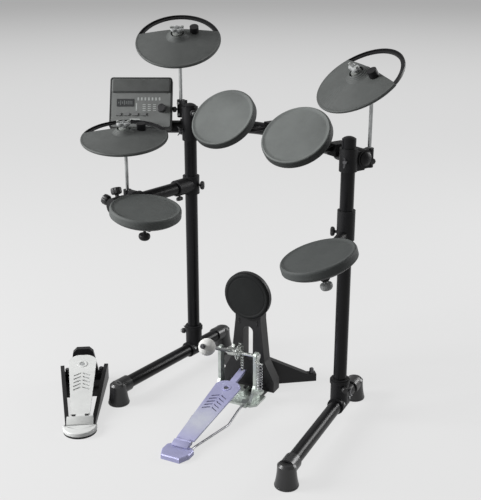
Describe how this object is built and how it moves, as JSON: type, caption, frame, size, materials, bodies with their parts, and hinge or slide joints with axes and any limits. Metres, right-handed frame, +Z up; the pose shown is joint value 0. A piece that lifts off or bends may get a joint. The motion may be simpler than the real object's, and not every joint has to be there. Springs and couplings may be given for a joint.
{
  "type": "electronic drum kit",
  "caption": "Electronic drum kit: rubber drum and cymbal pads, a sound module and pedals on a black tube rack with a kick tower.",
  "frame": {"origin": "middle of the overall box, on the floor", "axes": "+X to the player's right, +Y away from the player, +Z up"},
  "size_m": [0.9734, 0.7657, 1.0952],
  "materials": {
    "rack_tube": "satin black powder coat",
    "joint_casting": "black moulded nylon",
    "boot_rubber": "black rubber",
    "cap_plastic": "black plastic",
    "bolt_steel": "zinc-plated",
    "rod_steel": "grey plated rod",
    "cymbal_base": "black plastic",
    "cymbal_skin": "dark grey rubber",
    "cymbal_fitting": "grey plastic and felt",
    "pad_skin": "mid grey rubber",
    "pad_base": "black plastic",
    "knob_plastic": "grey plastic",
    "module_body": "charcoal plastic",
    "module_face": "charcoal plastic",
    "module_lens": "smoked window",
    "module_key": "light grey plastic",
    "module_dial": "soft black plastic",
    "tower_plastic": "charcoal plastic",
    "kick_skin": "black rubber",
    "pedal_casting": "bead-blasted casting",
    "pedal_plate": "anodised, faint lavender",
    "pedal_steel": "plated steel",
    "axle_steel": "bright plated steel",
    "beater_felt": "white felt",
    "hihat_frame": "black painted casting",
    "hihat_plate": "white painted plate"
  },
  "bodies": {
    "rack": {"leg_tubes": "rack_tube", "leg_boots": "boot_rubber", "leg_joints": "joint_casting", "left_post": "rack_tube", "right_post": "rack_tube", "left_top_joint": "joint_casting", "right_top_joint": "joint_casting", "crossbar": "rack_tube", "tube_caps": "cap_plastic", "rack_bolts": "bolt_steel", "tom_mounts": "joint_casting", "module_bracket": "joint_casting", "kick_tower": "tower_plastic", "kick_pad": "kick_skin", "floor_spikes": "bolt_steel", "pedal_base": "pedal_casting", "heel_plate": "pedal_plate", "base_wires": "pedal_steel", "hinge_pins": "pedal_steel", "hihat_base": "hihat_frame", "hihat_heel": "hihat_plate", "pedal_spring": "pedal_steel", "pedal_chain": "pedal_steel"},
    "kick_footboard": {"kick_footboard": "pedal_plate"},
    "beater": {"pedal_axle": "axle_steel", "beater_rod": "rod_steel", "beater_head": "beater_felt"},
    "hihat_footboard": {"hihat_footboard": "hihat_plate"},
    "module": {"module_case": "module_body", "module_panel": "module_face", "module_display": "module_lens"},
    "module_knob": {"module_knob": "module_dial"},
    "snare_arm": {"arm_tube": "rack_tube", "arm_clamps": "joint_casting"},
    "snare": {"snare_shell": "pad_base", "snare_head": "pad_skin"},
    "floor_arm": {"floor_arm": "joint_casting"},
    "floor_tom": {"floor_shell": "pad_base", "floor_head": "pad_skin", "floor_knob": "knob_plastic"},
    "tom1": {"tom1_shell": "pad_base", "tom1_head": "pad_skin"},
    "tom2": {"tom2_shell": "pad_base", "tom2_head": "pad_skin"},
    "module_button_1": {"module_button_1": "module_key"},
    "module_button_2": {"module_button_2": "module_key"},
    "module_button_3": {"module_button_3": "module_key"},
    "module_button_4": {"module_button_4": "module_key"},
    "crash_stand": {"crash_rod": "rod_steel", "crash_fittings": "cymbal_fitting"},
    "crash_cymbal": {"crash_shell": "cymbal_base", "crash_rubber": "cymbal_skin"},
    "ride_stand": {"ride_rod": "rod_steel", "ride_fittings": "cymbal_fitting"},
    "ride_cymbal": {"ride_shell": "cymbal_base", "ride_rubber": "cymbal_skin"},
    "hihat_stand": {"hihat_rod": "rod_steel", "hihat_fittings": "cymbal_fitting"},
    "hihat_cymbal": {"hihat_shell": "cymbal_base", "hihat_rubber": "cymbal_skin"}
  },
  "joints": [
    {"name": "beater_swing", "type": "hinge", "parent": "rack", "child": "beater", "pos_m": [0.0035, 0.11225, 0.145], "axis": [-0.9703, -0.2419, 0], "range_deg": [0, 70.5], "stiffness_Nm_per_rad": 0.3, "springref_deg": -28.65, "deforming": ["pedal_spring", "pedal_chain"]},
    {"name": "kick_footboard_hinge", "type": "hinge", "parent": "rack", "child": "kick_footboard", "pos_m": [0.08382, -0.20988, 0.02], "axis": [-0.9703, -0.2419, 0], "range_deg": [0, 5.17]},
    {"name": "hihat_footboard_hinge", "type": "hinge", "parent": "rack", "child": "hihat_footboard", "pos_m": [-0.2245, -0.31475, 0.027], "axis": [-0.682, -0.7314, 0], "range_deg": [0, 11], "stiffness_Nm_per_rad": 4, "springref_deg": -11.46},
    {"name": "module_tilt", "type": "hinge", "parent": "rack", "child": "module", "pos_m": [-0.40498, 0.14135, 0.804], "axis": [0.766, 0.6428, 0], "range_deg": [-2, 12]},
    {"name": "module_knob_turn", "type": "hinge", "parent": "module", "child": "module_knob", "pos_m": [-0.3252, 0.14272, 0.833], "axis": [0.5567, -0.6634, 0.5], "range_deg": [-140, 140]},
    {"name": "snare_arm_swing", "type": "hinge", "parent": "rack", "child": "snare_arm", "pos_m": [-0.2655, 0.20225, 0.598], "axis": [0, 0, 1], "range_deg": [-2, 20]},
    {"name": "snare_tilt", "type": "hinge", "parent": "snare_arm", "child": "snare", "pos_m": [-0.14272, -0.11347, 0.5685], "axis": [0.9878, -0.1555, 0], "range_deg": [-12, 12]},
    {"name": "floor_arm_swing", "type": "hinge", "parent": "rack", "child": "floor_arm", "pos_m": [0.3085, 0.20225, 0.566], "axis": [0, 0, 1], "range_deg": [-15, 15]},
    {"name": "floor_tilt", "type": "hinge", "parent": "floor_arm", "child": "floor_tom", "pos_m": [0.39588, -0.02058, 0.5312], "axis": [0.7325, -0.6807, 0], "range_deg": [-12, 12]},
    {"name": "tom1_tilt", "type": "hinge", "parent": "rack", "child": "tom1", "pos_m": [-0.13123, 0.22819, 0.7889], "axis": [0.9919, 0.1271, 0], "range_deg": [-12, 12]},
    {"name": "tom2_tilt", "type": "hinge", "parent": "rack", "child": "tom2", "pos_m": [0.16204, 0.19009, 0.78215], "axis": [0.9914, 0.1305, 0], "range_deg": [-12, 12]},
    {"name": "module_button_1_press", "type": "slide", "parent": "module", "child": "module_button_1", "axis": [-0.5567, 0.6634, -0.5], "range_m": [0, 0.0015], "stiffness_N_per_m": 400, "springref_m": -0.001},
    {"name": "module_button_2_press", "type": "slide", "parent": "module", "child": "module_button_2", "axis": [-0.5567, 0.6634, -0.5], "range_m": [0, 0.0015], "stiffness_N_per_m": 400, "springref_m": -0.001},
    {"name": "module_button_3_press", "type": "slide", "parent": "module", "child": "module_button_3", "axis": [-0.5567, 0.6634, -0.5], "range_m": [0, 0.0015], "stiffness_N_per_m": 400, "springref_m": -0.001},
    {"name": "module_button_4_press", "type": "slide", "parent": "module", "child": "module_button_4", "axis": [-0.5567, 0.6634, -0.5], "range_m": [0, 0.0015], "stiffness_N_per_m": 400, "springref_m": -0.001},
    {"name": "crash_height", "type": "slide", "parent": "rack", "child": "crash_stand", "axis": [0, 0, 1], "range_m": [0, 0.03]},
    {"name": "crash_rock", "type": "hinge", "parent": "crash_stand", "child": "crash_cymbal", "pos_m": [-0.27962, 0.17308, 1.03361], "axis": [0.7986, 0.6018, 0], "range_deg": [-7, 7], "stiffness_Nm_per_rad": 3},
    {"name": "ride_height", "type": "slide", "parent": "rack", "child": "ride_stand", "axis": [0, 0, 1], "range_m": [0, 0.03]},
    {"name": "ride_rock", "type": "hinge", "parent": "ride_stand", "child": "ride_cymbal", "pos_m": [0.31404, 0.23361, 0.97447], "axis": [0.9641, -0.2656, 0], "range_deg": [-7, 7], "stiffness_Nm_per_rad": 3},
    {"name": "hihat_height", "type": "slide", "parent": "snare_arm", "child": "hihat_stand", "axis": [0, 0, 1], "range_m": [0, 0.03]},
    {"name": "hihat_rock", "type": "hinge", "parent": "hihat_stand", "child": "hihat_cymbal", "pos_m": [-0.29216, -0.04019, 0.78295], "axis": [0.788, 0.6157, 0], "range_deg": [-7, 7], "stiffness_Nm_per_rad": 3}
  ],
  "couplings": [
    {"joint": "kick_footboard_hinge", "follows": "beater_swing", "ratio": 0.072626}
  ]
}
